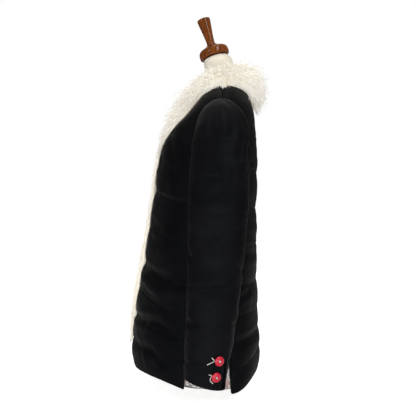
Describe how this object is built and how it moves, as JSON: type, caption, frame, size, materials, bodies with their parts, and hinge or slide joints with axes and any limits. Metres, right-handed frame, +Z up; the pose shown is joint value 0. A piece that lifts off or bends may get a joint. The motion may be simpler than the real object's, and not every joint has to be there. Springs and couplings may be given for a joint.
{
  "type": "down coat on dress form",
  "caption": "Black satin down coat with a long-haired cream fur collar and fur front edges, on a limbless dress form with a wooden neck cap and a round base.",
  "frame": {"origin": "middle of the object's box, on the floor under the base", "axes": "+Z up, -Y the front of the coat, +X the wearer's left"},
  "size_m": [0.6566, 0.3568, 0.9558],
  "materials": {
    "satin": "satin",
    "fur": "matte",
    "printed_lining": "satin",
    "red_button": "glossy",
    "grey_cord": "satin",
    "jersey": "matte",
    "varnished_wood": "glossy",
    "steel": "brushed"
  },
  "bodies": {
    "root": {"back": "satin", "front_left": "satin", "front_right": "satin", "sleeve_left": "satin", "sleeve_right": "satin", "collar_left": "fur", "collar_right": "fur", "edge_fur_left": "fur", "edge_fur_right": "fur", "lining_left": "printed_lining", "lining_right": "printed_lining", "cuff_lining_left": "printed_lining", "cuff_lining_right": "printed_lining", "button_left_upper": "red_button", "button_left_lower": "red_button", "button_right_upper": "red_button", "button_right_lower": "red_button", "knot_left_upper": "grey_cord", "knot_left_lower": "grey_cord", "knot_right_upper": "grey_cord", "knot_right_lower": "grey_cord", "loop_left_upper": "grey_cord", "loop_left_lower": "grey_cord", "loop_right_upper": "grey_cord", "loop_right_lower": "grey_cord", "form_torso": "jersey", "form_cap": "varnished_wood", "form_finial": "varnished_wood", "form_pole": "steel", "form_base": "steel"}
  },
  "joints": []
}
